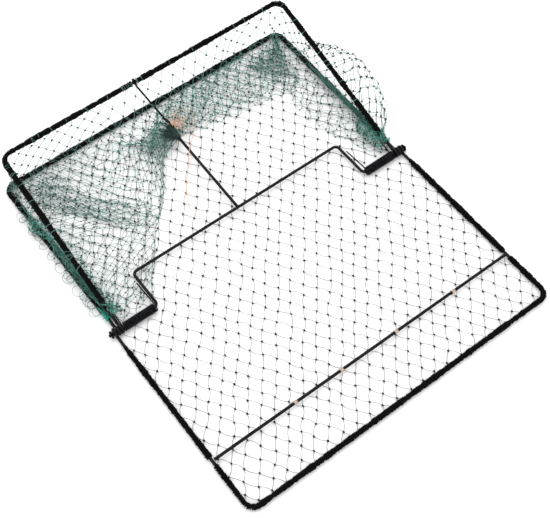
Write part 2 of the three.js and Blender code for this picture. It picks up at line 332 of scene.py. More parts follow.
def evenly(points, step):
    """The same line with points about one step apart."""
    points = np.asarray(points, float)
    length = np.concatenate([[0], np.cumsum(np.linalg.norm(np.diff(points, axis=0), axis=1))])
    places = np.linspace(0, length[-1], max(2, int(round(length[-1] / step)) + 1))
    return np.stack([np.interp(places, length, points[:, axis]) for axis in range(3)], -1)


def rod(points, radius, sides=20):
    """A smooth round rod with softly rounded ends."""
    points = np.asarray(points, float)
    first = unit(points[0] - points[1])
    last = unit(points[-1] - points[-2])
    nose = radius * 0.25
    path = np.concatenate([
        [points[0]],
        [points[0] - first * nose * 0.4],
        [points[0] - first * nose],
        points[1:-1],
        [points[-1] - last * nose],
        [points[-1] - last * nose * 0.4],
        [points[-1]],
    ])
    radii = np.full(len(path), radius)
    radii[[0, -1]] *= 0.7
    radii[[1, -2]] *= 0.92
    return tubes(path[None], radii[None], sides)


def ring(centre, mean, wire, turns=1.0, pitch=0.0, segments=40, sides=14):
    """A coil about an axis along X through the centre."""
    steps = int(segments * turns) + 1
    angle = np.linspace(0, turns * 2 * math.pi, steps)
    x = np.linspace(-0.5, 0.5, steps) * pitch * turns
    path = np.stack([x, mean * np.cos(angle), mean * np.sin(angle)], -1) + np.asarray(centre, float)
    return tubes(path[None], wire, sides)


# ---------------------------------------------------------------- frame lines


def on_frame(shape, x, s):
    """A point of a frame's plane, s from the hinge."""
    y = HINGE_Y + shape["way"] * s * math.cos(shape["tilt"])
    return np.array([x, y, shape["z"] + s * math.sin(shape["tilt"])])


def half_width(shape, s):
    return shape["eye"] + (shape["corner"] - shape["eye"]) * s / shape["length"]


def u_line(shape, start):
    """The bent bar from distance start on the left to the same on the right."""
    near = half_width(shape, start)
    return rounded([
        on_frame(shape, -near, start),
        on_frame(shape, -shape["corner"], shape["length"]),
        on_frame(shape, shape["corner"], shape["length"]),
        on_frame(shape, near, start),
    ], CORNER_RADIUS)


def half_line(shape, side, start, x):
    return rounded([
        on_frame(shape, side * half_width(shape, start), start),
        on_frame(shape, side * shape["corner"], shape["length"]),
        on_frame(shape, x, shape["length"]),
    ], CORNER_RADIUS)


def side_line(shape, side, start, end):
    return np.array([
        on_frame(shape, side * half_width(shape, start), start),
        on_frame(shape, side * half_width(shape, end), end),
    ])


def bar_axes(line):
    """Unit vectors along a line and across it, with one of them as upright as can be."""
    along = unit(np.gradient(line, axis=0))
    aside = unit(np.cross(along, [0.0, 0.0, 1.0]))
    return along, aside, np.cross(aside, along)


# ---------------------------------------------------------------- frames


def frame_wire(shape, start):
    """Bent wire, with its ends coiled into eyes on the axle."""
    eyes = []
    for side in (-1, 1):
        eyes.append(ring([side * shape["eye"], HINGE_Y, HINGE_Z], EYE_MEAN, WIRE_RADIUS))
    return joined(rod(evenly(u_line(shape, start), 6.0), WIRE_RADIUS), *eyes)


def make_frames(enamel):
    for name, shape, body, start in (
        ("front_frame", FRONT, "front_base", LEVEL_BAR_START),
        ("rear_frame", REAR, "rear_base", LEVEL_BAR_START),
        ("capture_frame", CAPTURE, "capture", EYE_MEAN),
    ):
        piece = add_mesh(f"{name}_wire", frame_wire(shape, start), enamel)
        settle(piece, body, "black_enamel", name)


WRAP_PITCH = 2.1
WRAP_CORD = 0.95
WRAP_STEPS = 14


def lashing(line, taper):
    """Cord wound round a bar turn by turn, with lumps where turns ride up and loose fibres."""
    line = evenly(line, WRAP_PITCH / WRAP_STEPS)
    along, aside, up = bar_axes(line)
    count = len(line)
    angle = np.arange(count) * 2 * math.pi / WRAP_STEPS
    turns = count // WRAP_STEPS + 2
    lumps = np.interp(np.arange(count) / WRAP_STEPS, np.arange(turns), RNG.normal(0, 1, turns))
    slow = np.interp(np.arange(count) / WRAP_STEPS / 7, np.arange(turns), RNG.normal(0, 1, turns))
    out = aside * np.cos(angle)[:, None] + up * np.sin(angle)[:, None]
    reach = LASHING_RADIUS - WRAP_CORD + 0.28 * lumps.clip(-1.5, 1.6) + 0.4 * slow.clip(-1.2, 1.2)
    gone = np.arange(count) * WRAP_PITCH / WRAP_STEPS
    reach = reach - LASHING_TAPER * (1 - gone / taper).clip(0, 1)
    slide = 0.35 * np.sin(angle + lumps)
    path = line + out * reach[:, None] + along * slide[:, None]
    path[:, 2] = path[:, 2].clip(WRAP_CORD, None)
    wound = tubes(path[None], WRAP_CORD * (1 + 0.08 * lumps[None].clip(-2, 2)), 6)
    return joined(wound, fibres(line, along, aside, up))


FIBRES_PER_MM = 1.1


def fibres(line, along, aside, up):
    """Fine loose ends that stand off the cord and curl back."""
    length = len(line) * WRAP_PITCH / WRAP_STEPS
    count = int(length * FIBRES_PER_MM)
    at = RNG.integers(1, len(line) - 1, count)
    angle = RNG.uniform(0, 2 * math.pi, count)
    out = aside[at] * np.cos(angle)[:, None] + up[at] * np.sin(angle)[:, None]
    sway = np.cross(along[at], out) * RNG.normal(0, 1, (count, 1)) + along[at] * RNG.normal(0, 1, (count, 1))
    reach = RNG.gamma(2.0, 0.35, (count, 1)).clip(0.2, 1.9)
    root = line[at] + out * (LASHING_RADIUS - 0.5)
    middle = root + out * (0.45 + 0.6 * reach) + sway * 0.5
    tip = root + out * (0.3 + 0.75 * reach) + sway * 1.3
    path = np.stack([root, middle, tip], 1)
    path[:, :, 2] = path[:, :, 2].clip(0.05, None)
    return tubes(path, np.array([[0.11, 0.09, 0.04]]), 4)


FRONT_WRAP_START = 21.0
REAR_WRAP_START = 37.0
CAPTURE_WRAP_START = 30.0
FRONT_WRAP_TAPER = 14.0
LASHING_TAPER = 1.3


def make_lashings(cord):
    after_bar = CROSSBAR_S + CROSSBAR_GAP
    before_bar = CROSSBAR_S - CROSSBAR_GAP
    lines = [
        ("front_lashing", u_line(FRONT, after_bar), "front_base", 1.0),
        ("rear_lashing", u_line(REAR, REAR_WRAP_START), "rear_base", 1.0),
    ]
    for name, side in SIDES:
        line = side_line(FRONT, side, FRONT_WRAP_START, before_bar)
        lines.append((f"front_{name}_lashing", line, "front_base", FRONT_WRAP_TAPER))
        cut = PIN_X + side * PIN_LASHING_GAP
        line = half_line(CAPTURE, side, CAPTURE_WRAP_START, cut)
        lines.append((f"capture_{name}_lashing", line, "capture", 1.0))
    for name, line, body, taper in lines:
        piece = add_mesh(f"{name}_wrap", lashing(line, taper), cord)
        settle(piece, body, "black_lashing", name)


# ---------------------------------------------------------------- yoke, arm, springs and trigger


def make_yoke(enamel):
    corners = [
        (-AXLE_END_X, 0), (-YOKE_LEG_X, 0), (-YOKE_LEG_X, YOKE_DEPTH),
        (YOKE_LEG_X, YOKE_DEPTH), (YOKE_LEG_X, 0), (AXLE_END_X, 0),
    ]
    line = rounded([(x, HINGE_Y + y, HINGE_Z) for x, y in corners], 7.0, steps=10)
    piece = add_mesh("yoke_rod", rod(line, AXLE_RADIUS, 24), enamel)
    settle(piece, "rear_base", "black_enamel", "yoke_bar")


def make_arm(enamel):
    """Arm with a flattened eye, and the weld bead that joins it to the yoke."""
    start = HINGE_Y + YOKE_DEPTH + AXLE_RADIUS
    end = HINGE_Y + ARM_END
    shank = rod([(0, start, HINGE_Z), (0, end - 40, ARM_END_Z - 2.8), (0, end - 3.1, ARM_END_Z)], AXLE_RADIUS)
    eye = ring([0, end, ARM_END_Z], 3.1, 1.5)
    angle = np.linspace(0, 2 * math.pi, 25)
    bead = np.stack([2.1 * np.cos(angle), np.full(25, start - 0.1), HINGE_Z + 2.1 * np.sin(angle)], -1)
    weld = tubes(bead[None], 0.55 + 0.12 * np.sin(7 * angle)[None], 8)
    piece = add_mesh("trigger_arm_rod", joined(shank, eye, weld), enamel)
    settle(piece, "rear_base", "black_enamel", "trigger_arm")


SPRING_INNER_X = 184.6
SPRING_OUTER_X = 235.4
SPRING_MEAN = 5.7
SPRING_WIRE = 1.0
SPRING_TURNS = 22
SPRING_STEPS = 28
INNER_TANG = 46.0
OUTER_TANG = 42.0


def spring_line(side):
    """Tang along the yoke's leg, close coils on the axle, and a tang along the capture frame."""
    turn = SPRING_TURNS * 2 * math.pi + math.pi + CAPTURE_TILT
    angle = np.linspace(0, turn, int(turn / (2 * math.pi) * SPRING_STEPS))
    x = side * np.linspace(SPRING_INNER_X, SPRING_OUTER_X, len(angle))
    coil = np.stack([
        x,
        HINGE_Y - SPRING_MEAN * np.sin(angle),
        HINGE_Z + SPRING_MEAN * np.cos(angle),
    ], -1)
    inner = np.array([side * SPRING_INNER_X, HINGE_Y + INNER_TANG, HINGE_Z + 1.0])
    lead_in = [inner + (coil[0] - inner) * k for k in (0.0, 0.33, 0.66, 0.9)]
    way = np.array([0.0, math.cos(CAPTURE_TILT), math.sin(CAPTURE_TILT)])
    lead_out = [coil[-1] + way * OUTER_TANG * k for k in (0.1, 0.4, 0.7, 1.0)]
    return np.concatenate([lead_in, coil, lead_out])


def make_springs(steel):
    for name, side in SIDES:
        piece = add_mesh(f"{name}_spring_coil", rod(spring_line(side), SPRING_WIRE, 10), steel)
        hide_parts(f"{name}_torsion_spring")
        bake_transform(piece)


END_RING_X = 255.2
END_RING_MEAN = 4.2
END_RING_WIRE = 1.65
LEVER_X = 3.9


def make_retaining_rings(oxide):
    for name, side in SIDES:
        shape = ring([side * END_RING_X, HINGE_Y, HINGE_Z], END_RING_MEAN, END_RING_WIRE)
        piece = add_mesh(f"{name}_end_ring", shape, oxide)
        settle(piece, "rear_base", "oxide_steel", f"{name}_retaining_ring")


def make_pin(oxide):
    eye = on_frame(CAPTURE, PIN_X, CAPTURE["length"])
    heel = np.array([LEVER_X, HINGE_Y + 256.0, 15.4])
    toe = np.array([LEVER_X, HINGE_Y + 247.0, 15.4])
    down = heel - eye
    down[0] = 0.0
    start = eye + unit(down) * 4.5
    shank = rod(rounded([start, heel, toe], 3.0), 1.5, 16)
    piece = add_mesh("release_pin_wire", joined(shank, ring(eye, 4.5, 1.5)), oxide)
    settle(piece, "pin", "oxide_steel", "release_pin")


LEVER_OUTLINE = (
    (-22, -3.8), (-21, -6.2), (-4, -3.2), (2, -3.6), (5, -1.2), (15.5, -1.2),
    (15.5, 1.8), (5, 2.6), (1, 3.8), (-3, 3), (-8, -0.6),
)


def make_lever(oxide):
    """Stamped lever: the flat outline with a pierced pivot hole and rolled edges."""
    curve = bpy.data.curves.new("trigger_lever_plate", "CURVE")
    curve.dimensions = "2D"
    curve.fill_mode = "BOTH"
    hole = [(1.6 * math.cos(a), 1.6 * math.sin(a)) for a in np.arange(24) * math.pi / 12]
    for outline in (LEVER_OUTLINE, hole):
        add_polyline(curve, [(y * MM, z * MM, 0) for y, z in outline], closed=True)
    curve.extrude = 1.0 * MM
    curve.bevel_depth = 0.28 * MM
    curve.offset = -0.28 * MM
    curve.bevel_resolution = 2
    maker = add_object("trigger_lever_maker", curve)
    mesh = bpy.data.meshes.new_from_object(maker.evaluated_get(bpy.context.evaluated_depsgraph_get()))
    bpy.data.objects.remove(maker)
    turn = Matrix(((0, 0, 1, 0), (1, 0, 0, 0), (0, 1, 0, 0), (0, 0, 0, 1)))
    place = Matrix.Translation(Vector((LEVER_X, HINGE_Y + ARM_END, ARM_END_Z)) * MM)
    mesh.transform(place @ turn)
    mesh.materials.clear()
    mesh.materials.append(oxide)
    piece = add_object("trigger_lever_plate", mesh)
    settle(piece, "trigger", "oxide_steel", "trigger_lever")


def make_pivot(oxide):
    """Rivet with two domed heads."""
    y = HINGE_Y + ARM_END
    profile = [
        (-3.4, 0.6), (-3.3, 2.2), (-2.7, 2.8), (-2.2, 2.8), (-2.15, 1.25),
        (5.55, 1.25), (5.6, 2.8), (6.1, 2.8), (6.7, 2.2), (6.8, 0.6),
    ]
    path = np.array([[x, y, ARM_END_Z] for x, _ in profile])
    radii = np.array([r for _, r in profile])
    piece = add_mesh("trigger_pivot_rivet", tubes(path[None], radii[None], 20), oxide)
    settle(piece, "rear_base", "oxide_steel", "trigger_pivot_pin")


def make_crossbar(enamel):
    y = HINGE_Y - CROSSBAR_S
    line = np.array([[x, y, CROSSBAR_Z] for x in (-CROSSBAR_HALF, 0, CROSSBAR_HALF)])
    piece = add_mesh("front_crossbar_rod", rod(line, AXLE_RADIUS, 24), enamel)
    settle(piece, "front_base", "black_enamel", "front_crossbar")


# ---------------------------------------------------------------- threads and ties


def helix_on_x(x, y, z, radius, turns, pitch, lean):
    """Turns of thread round a rod along X, leaning a little."""
    angle = np.linspace(0, turns * 2 * math.pi, int(turns * 16) + 1)
    across = x + np.linspace(-0.5, 0.5, len(angle)) * pitch * turns + lean * np.sin(angle)
    return np.stack([across, y + radius * np.cos(angle), z + radius * np.sin(angle)], -1)


def make_crossbar_ties(thread):
    """Each tie is a few tight turns, a knot and two cut ends."""
    y = HINGE_Y - CROSSBAR_S
    for index, x in enumerate(TIE_XS):
        wound = tubes(helix_on_x(x, y, CROSSBAR_Z, 2.65, 4, 1.0, 0.4)[None], 0.38, 8)
        over = tubes(helix_on_x(x, y, CROSSBAR_Z, 2.95, 1.5, 3.2, 1.4)[None], 0.34, 8)
        knot_place = [x + 1.0, y - 1.6, CROSSBAR_Z + 2.7]
        knot = ring(knot_place, 0.7, 0.42, turns=1.5, pitch=0.6, segments=16, sides=8)
        ends = []
        for way in (-1, 1):
            reach = RNG.uniform(2.2, 3.4)
            ends.append([
                (x + 1.0, y - 1.6, CROSSBAR_Z + 2.9),
                (x + 1.0 + way * reach * 0.5, y - 2.6, CROSSBAR_Z + 2.6),
                (x + 1.0 + way * reach, y - 3.2, CROSSBAR_Z + 1.2),
            ])
        shape = joined(wound, over, knot, tubes(np.array(ends), 0.38, 6))
        piece = add_mesh(f"crossbar_tie_{index + 1}_thread", shape, thread)
        settle(piece, "front_base", "tan_thread", f"crossbar_tie_{index + 1}")


THREAD_ROUTE = [
    [9, 238, 21],
    [20, 254, 17],
    [35, 258, 12],
    [44, 250, 9.5],
    [41, 232, 8.5],
    [31, 218, 8.5],
    [18, 204, 13],
    [6, 191, 18.6],
    [-4, 180, 18.6],
    [-16, 166, 12],
    [-28, 152, 6.5],
    [-44, 130, 4],
    [-53, 110, 3.4],
    [-56, 91, 3.2],
]
THREAD_DIAMETER = 1.0


def smooth_line(knots, per_span=12):
    """A centripetal curve through the knots."""
    knots = np.asarray(knots, float)
    padded = np.concatenate([[2 * knots[0] - knots[1]], knots, [2 * knots[-1] - knots[-2]]])
    points = []
    for p0, p1, p2, p3 in zip(padded, padded[1:], padded[2:], padded[3:]):
        t0 = 0.0
        t1 = t0 + math.sqrt(np.linalg.norm(p1 - p0))
        t2 = t1 + math.sqrt(np.linalg.norm(p2 - p1))
        t3 = t2 + math.sqrt(np.linalg.norm(p3 - p2))
        for t in np.linspace(t1, t2, per_span, endpoint=False):
            a1 = p0 * (t1 - t) / (t1 - t0) + p1 * (t - t0) / (t1 - t0)
            a2 = p1 * (t2 - t) / (t2 - t1) + p2 * (t - t1) / (t2 - t1)
            a3 = p2 * (t3 - t) / (t3 - t2) + p3 * (t - t2) / (t3 - t2)
            b1 = a1 * (t2 - t) / (t2 - t0) + a2 * (t - t0) / (t2 - t0)
            b2 = a2 * (t3 - t) / (t3 - t1) + a3 * (t - t1) / (t3 - t1)
            points.append(b1 * (t2 - t) / (t2 - t1) + b2 * (t - t1) / (t2 - t1))
    points.append(knots[-1])
    return np.array(points)


def make_bait_thread(thread):
    """The free bait thread, along the route of its CAD solid."""
    line = evenly(smooth_line([(x, HINGE_Y + s, z) for x, s, z in THREAD_ROUTE]), 2.5)
    curve = bpy.data.curves.new("bait_thread_line", "CURVE")
    curve.dimensions = "3D"
    add_polyline(curve, line * MM)
    curve.bevel_depth = THREAD_DIAMETER / 2 * MM
    curve.bevel_resolution = 3
    curve.use_fill_caps = True
    curve.materials.append(thread)
    piece = add_object("bait_thread_line", curve)
    settle(piece, "rear_base", "tan_thread", "bait_thread")


# ---------------------------------------------------------------- nets

BAG_TWINE = 0.3
BAR_STEPS = 5
NET_SIDES = 6
KNOT_STEPS = 5


def slack_bars(starts, ends, length, radius, bow_most, floor):
    """One tube for each mesh bar; a bar longer than its span bows out to one side."""
    span = ends - starts
    reach = np.linalg.norm(span, axis=1)
    spare = np.sqrt(np.maximum(length ** 2 - reach ** 2, 0) * 3 / 8)
    bow = np.minimum(spare, bow_most * reach)
    way = RNG.normal(0, 1, starts.shape) * [1.0, 1.0, 0.45]
    unit_span = unit(span)
    way = unit(way - np.sum(way * unit_span, axis=1, keepdims=True) * unit_span)
    t = np.linspace(0, 1, BAR_STEPS)[None, :, None]
    path = starts[:, None] + span[:, None] * t
    path = path + way[:, None] * (np.sin(math.pi * t) * bow[:, None, None])
    path[:, 1:-1, 2] = path[:, 1:-1, 2].clip(floor, None)
    return tubes(path, radius, NET_SIDES)


def knots_at(places, size, ways):
    """A small lump for each knot, as long as it is wide."""
    ways = unit(ways)
    t = np.array([-1.0, -0.62, 0.0, 0.62, 1.0])
    size = np.broadcast_to(np.asarray(size, float), (len(places), 1))
    path = places[:, None] + ways[:, None] * t[None, :, None] * size[..., None] * 1.15
    radii = size * np.array([[0.3, 0.82, 1.0, 0.82, 0.3]])
    return tubes(path, radii * RNG.uniform(0.85, 1.15, (len(places), 1)), NET_SIDES)


# The flat net's two bar directions, between neighbouring knots
BASE_BAR_A = np.array([-11.3, -14.3])
BASE_BAR_B = np.array([10.0, -15.4])
BASE_TWINE = 0.33
EDGE_CLIMB = 22.0
NET_HALF = 246.0
# No mesh lies under a spring: inner end, and reach either side of the hinge
SPRING_SHADOW_X = 181.0
SPRING_SHADOW_Y = 11.0


def soft_noise(x, y, seed, scale):
    """Smooth wandering values from -1 to 1 over a plane, the same on every run."""
    phase = np.random.default_rng(seed).uniform(0, 2 * math.pi, 6)
    value = np.sin(x / scale + phase[0]) * np.cos(y / scale * 1.2 + phase[1])
    value = value + 0.6 * np.sin(x / scale * 2.1 + phase[2] + y / scale * 0.7)
    value = value + 0.4 * np.cos(y / scale * 2.9 + phase[4] - x / scale * 1.3 + phase[5])
    return value / 2.0


def base_height(x, y):
    """The flat net lies just off the ground and climbs to the bars at its edges."""
    half = np.interp(y, [HINGE_Y, HINGE_Y + REAR["length"]], [REAR["eye"], REAR["corner"]])
    half = np.where(y < HINGE_Y, FRONT["eye"], half)
    to_edge = np.minimum(half - np.abs(x), HINGE_Y + REAR["length"] - y)
    to_edge = np.minimum(to_edge, y - (HINGE_Y - FRONT["length"]))
    lift = np.clip(1 - to_edge / EDGE_CLIMB, 0, 1) ** 2 * (BAR_Z - 1.7)
    return 1.7 + 0.5 * soft_noise(x, y, 3, 31.0) + lift


def under_spring(x, y):
    return (np.abs(x) > SPRING_SHADOW_X) & (np.abs(y - HINGE_Y) < SPRING_SHADOW_Y)


def base_net_shape():
    """Knotted diamond mesh over both halves, its edge bars ending inside the lashings."""
    count = 60
    i, j = np.meshgrid(np.arange(-count, count), np.arange(-count, count), indexing="ij")
    place = i[..., None] * BASE_BAR_A + j[..., None] * BASE_BAR_B + [3.0, 2.0]
    x = place[..., 0] + 2.2 * soft_noise(place[..., 0], place[..., 1], 1, 31.0)
    y = place[..., 1] + 2.2 * soft_noise(place[..., 0], place[..., 1], 2, 29.0)
    x = x + RNG.normal(0, 0.5, x.shape)
    y = y + RNG.normal(0, 0.5, y.shape)
    front_y = HINGE_Y - FRONT["length"]
    rear_y = HINGE_Y + REAR["length"]
    inside = (np.abs(x) < NET_HALF) & (y > front_y) & (y < rear_y)
    points = np.stack([x, y, base_height(x, y)], -1)
    starts = []
    ends = []
    for di, dj in ((1, 0), (0, 1)):
        here = points[:-1, :-1]
        there = points[di:count * 2 - 1 + di, dj:count * 2 - 1 + dj]
        here_in = inside[:-1, :-1]
        there_in = inside[di:count * 2 - 1 + di, dj:count * 2 - 1 + dj]
        both = here_in & there_in
        starts.append(here[both])
        ends.append(there[both])
        for own, other, only in ((here, there, here_in & ~there_in), (there, here, there_in & ~here_in)):
            start = own[only]
            way = other[only] - start
            share = np.ones(len(start))
            for axis, limit in ((0, NET_HALF), (0, -NET_HALF), (1, front_y), (1, rear_y)):
                step = np.where(np.abs(way[:, axis]) < 1e-6, 1e-6, way[:, axis])
                cut = (limit - start[:, axis]) / step
                share = np.where((cut > 0) & (cut < share), cut, share)
            end = start + way * share[:, None]
            end[:, 2] = BAR_Z
            starts.append(start)
            ends.append(end)
    starts = np.concatenate(starts)
    ends = np.concatenate(ends)
    middle = (starts + ends) / 2
    clear = ~under_spring(middle[:, 0], middle[:, 1])
    starts = starts[clear]
    ends = ends[clear]
    length = np.linalg.norm(ends - starts, axis=1) * 1.012
    bars = slack_bars(starts, ends, length, BASE_TWINE, 0.09, 0.5)
    knots = points[inside & ~under_spring(x, y)]
    ways = np.array([0.0, 1.0, 0.0]) + RNG.normal(0, 0.25, knots.shape) * [1, 1, 0.3]
    return bars, knots_at(knots, 1.5, ways)


def make_base_net(twine, knot_twine):
    bars, knots = base_net_shape()
    piece = add_mesh("base_net_mesh", bars, twine, (knots, knot_twine))
    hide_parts("front_net", "rear_net")
    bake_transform(piece)


# The gathered bag: rows run round the frames, from the rear frame's edge to the capture frame's
BAG_ROWS = 40
BAG_COLUMNS = 50
BAG_BAR = 18.5
HANGING_TWINE = 0.38
HANGING_KNOT = 1.45
# A crease line down the left lobe, shown only by drawing its bars in the crease twine, whose lighter patches
# are painted highlights: [mm along the bar, drift in each 100 mm inwards, half-width]
BAG_FOLD_LINE = (480.0, -84.0, 12.0)
BAG_ROW_PITCH = 11.0
CLIMB_PITCH = 16.0
BAG_START = 16.0
CAPTURE_RANGE = math.radians(161.0)
BAG_KNOT = 1.1
LASHING_ROOM = 3.4
LEAST_ROOM = math.radians(2.0)
TIGHTEN_ROUNDS = 24

# How far the gathered net reaches in from the rear bar: [mm along the bar from its left end, mm inwards]
BAG_REACH = (
    (0, 66), (24, 92), (76, 138), (118, 160), (146, 150), (184, 108), (226, 78), (284, 74), (316, 92),
    (350, 150), (390, 192), (428, 202), (470, 160), (500, 106), (524, 80), (548, 84), (566, 90),
    (622, 98), (696, 108), (718, 116), (780, 96),
    (850, 60), (914, 66), (976, 62), (1010, 46), (1038, 32), (1063, 22),
)
# How far inside the rear bar the net turns up to the capture frame: below zero it hangs outside
BAG_TURN_UP = ((0, 4), (40, -10), (90, -14), (250, -12), (300, 9), (760, 9), (820, 12), (1063, 8))
# How deep the further folds are, as a share of that reach
BAG_FOLD = (
    (0, 0.3), (150, 0.3), (230, 0.15), (330, 0.2), (390, 0.5), (500, 0.85), (720, 0.75), (780, 0.25),
    (850, 0.35), (1063, 0.4),
)
# Where those folds are bound in under the rear bar's cord instead: 1 is wholly
BAG_BOUND = ((190, 0), (220, 1), (378, 1), (402, 0), (748, 0), (770, 1), (980, 1), (1000, 0))
# The net keeps low under the trigger's bait stem, which dips when the trigger tilts
BAIT_STEM = (4.0, 222.0)
BAIT_STEM_ROOM = 17.0
BAIT_STEM_UNDER = 3.2
# The loose lobe over the right side bars
LOBE_FROM = 818.0
LOBE_TO = 1052.0
LOBE_DEPTH = 0.7
LOBE_OUT = 33.0
LOBE_TOP = 82.0


def along_u(shape, share, start):
    """Points at shares of the way round a frame, and the level directions inwards from them."""
    line = evenly(u_line(shape, start), 2.0)
    length = np.linspace(0, 1, len(line))
    points = np.stack([np.interp(share, length, line[:, axis]) for axis in range(3)], -1)
    centre = np.array([0.0, HINGE_Y + 120.0])
    _, aside, _ = bar_axes(line)
    inward = np.stack([np.interp(share, length, aside[:, axis]) for axis in range(2)], -1)
    facing = np.sign(np.sum(inward * (centre - points[:, :2]), axis=1, keepdims=True))
    return points, unit(inward * facing)


def table_value(table, at):
    return np.interp(at, [row[0] for row in table], [row[1] for row in table])


def lobe_over_bars(at, depth, low, high, inward, loose):
    """The loose lobe that hangs out over the right side bars, and which knots are in it."""
    along_lobe = ((at - LOBE_FROM) / (LOBE_TO - LOBE_FROM)).clip(0, 1) ** 1.15
    over = ((depth - LOBE_DEPTH) / (1 - LOBE_DEPTH)).clip(0, 1)
    swell = np.sin(math.pi * along_lobe) ** 0.8
    hump = np.sin(math.pi * over) ** 0.8
    root = low + np.concatenate([inward * 14.0, np.full((len(at), 1), 5.0)], 1)
    lobe = root * (1 - over[:, None]) + high * over[:, None]
    lobe[:, :2] -= inward * (LOBE_OUT * swell * hump)[:, None]
    lobe[:, 2] += (LOBE_TOP - lobe[:, 2]).clip(0, None) * swell * np.sin(math.pi * over ** 1.4)
    lobe += loose * [2.0, 4.0, 3.0] * hump[:, None]
    blown = (over > 0.06) & (swell > 0.3)
    return lobe, blown


def bag_start():
    """Every knot's place: in along the ground, back out, to and fro in folds, and up to the capture bar."""
    row, column = np.meshgrid(np.arange(BAG_ROWS + 1), np.arange(BAG_COLUMNS), indexing="ij")
    share = ((column + 0.5 * (row % 2)) / (BAG_COLUMNS - 0.5)).ravel()
    row = row.ravel().astype(float)
    depth = row / BAG_ROWS
    wander = soft_noise(share * 900, depth * 400, 11, 60.0)
    share = (share + 0.006 * wander * np.sin(math.pi * depth)).clip(0, 1)
    low, inward = along_u(REAR, share, BAG_START)
    high, _ = along_u(CAPTURE, share, BAG_START)
    bar_length = np.linalg.norm(np.diff(evenly(u_line(REAR, BAG_START), 2.0), axis=0), axis=1).sum()
    at = share * bar_length
    reach = table_value(BAG_REACH, at) + 3.0 * soft_noise(at, at, 12, 25.0)
    turn_up = table_value(BAG_TURN_UP, at)
    rise = high[:, 2] - BAR_Z
    climb_rows = np.maximum(rise / CLIMB_PITCH, 1.5)
    ground_rows = BAG_ROWS - climb_rows
    first_fold = 2 * reach - turn_up
    ground = np.maximum(ground_rows * BAG_ROW_PITCH, first_fold)
    gone = (row / ground_rows).clip(0, 1) * ground
    back = (gone - first_fold).clip(0, None)
    fold = table_value(BAG_FOLD, at) * reach
    passes = back / fold
    outward = np.maximum(2 * reach - gone, turn_up)
    place_in = np.where(gone < reach, gone, outward + fold * 0.5 * (1 - np.cos(math.pi * passes)))
    layer = ((gone - reach) / 20.0).clip(0, 1) + np.minimum(passes, 2 + passes / 4)

    points = np.empty((len(share), 3))
    points[:, :2] = low[:, :2] + inward * place_in[:, None]
    humps = soft_noise(points[:, 0], points[:, 1], 23, 28.0)
    over_bar = 7.6 * np.exp(-(place_in / 7.0) ** 2)
    points[:, 2] = 2.4 + 1.7 * layer + over_bar + (0.6 + 0.9 * layer) * (1 + humps).clip(0, 2.5)
    bound = (table_value(BAG_BOUND, at) * (passes * 3).clip(0, 1))[:, None]
    core = low + np.stack([0 * at, 0 * at, 1.5 * np.sin(9 * passes)], -1)
    points = points * (1 - bound) + core * bound
    climb = ((row - ground_rows) / climb_rows).clip(0, 1)[:, None]
    points = points * (1 - climb) + high * climb
    sag = np.sin(math.pi * climb[:, 0])
    loose = np.stack([soft_noise(at, gone + 60 * climb[:, 0], seed, 30.0) for seed in (21, 22, 24)], -1)
    points += loose * [3.6, 3.6, 0.5] * np.sin(math.pi * depth)[:, None] * (1 - bound * (climb == 0))
    points += loose * [4.0, 6.0, 5.0] * sag[:, None]
    points += RNG.normal(0, 0.8, points.shape) * [1, 1, 0.3] * (1 - 0.7 * bound)

    lobe, blown = lobe_over_bars(at, depth, low, high, inward, loose)
    points[blown] = lobe[blown] + RNG.normal(0, 0.9, (int(blown.sum()), 3))

    first = row == 0
    last = row == BAG_ROWS
    points[first] = low[first] + [0, 0, LASHING_RADIUS]
    points[last] = high[last] - [0, 0, LASHING_RADIUS]
    # Bars in folds and along the crease line take the crease twine: the net's own green, with painted
    # highlights in lighter patches
    crease = (passes > 0.25) & (climb[:, 0] < 0.3) & (bound[:, 0] < 0.5) & ~blown
    fold_line = BAG_FOLD_LINE[0] + BAG_FOLD_LINE[1] * (place_in / 100.0)
    crease |= (np.abs(at - fold_line) < BAG_FOLD_LINE[2]) & (climb[:, 0] < 0.1) & (place_in > 8)
    hanging = (climb[:, 0] > 0) | blown
    return points, first | last | blown, depth, crease, hanging


def bag_bars():
    """Pairs of knots that a mesh bar joins."""
    index = np.arange((BAG_ROWS + 1) * BAG_COLUMNS).reshape(BAG_ROWS + 1, BAG_COLUMNS)
    pairs = []
    for row in range(BAG_ROWS):
        here = index[row]
        above = index[row + 1]
        pairs.append(np.stack([here, above], -1))
        if row % 2:
            pairs.append(np.stack([here[:-1], above[1:]], -1))
        else:
            pairs.append(np.stack([here[1:], above[:-1]], -1))
    return np.concatenate(pairs)


def tighten(points, fixed, pairs):
    """Draws in the knots, so that fewer bars are longer than their twine."""
    points = points.copy()
    degree = np.bincount(pairs.ravel(), minlength=len(points))[:, None]
    for _ in range(TIGHTEN_ROUNDS):
        gap = points[pairs[:, 1]] - points[pairs[:, 0]]
        reach = np.linalg.norm(gap, axis=1, keepdims=True)
        pull = gap * np.maximum(reach - BAG_BAR, 0) / np.maximum(reach, 1e-6) * 0.5
        shift = np.zeros_like(points)
        np.add.at(shift, pairs[:, 0], pull)
        np.add.at(shift, pairs[:, 1], -pull)
        points = points + np.where(fixed[:, None], 0, shift / degree * 1.5)
    return points


def follow_share(points, depth):
    """How far a ring of twine follows the capture frame: by its row, but not through the front half."""
    ahead = points[..., 1] - HINGE_Y
    above = points[..., 2] - HINGE_Z
    over_bar = np.interp(np.abs(points[..., 0]), [228, 238], [0.0, LASHING_ROOM])
    room = np.arctan2(over_bar, np.hypot(ahead, above).clip(1.0, None))
    limit = math.pi - room.clip(LEAST_ROOM, None)
    return np.minimum(depth, (limit - np.arctan2(above, ahead)) / CAPTURE_RANGE).clip(0, 1)


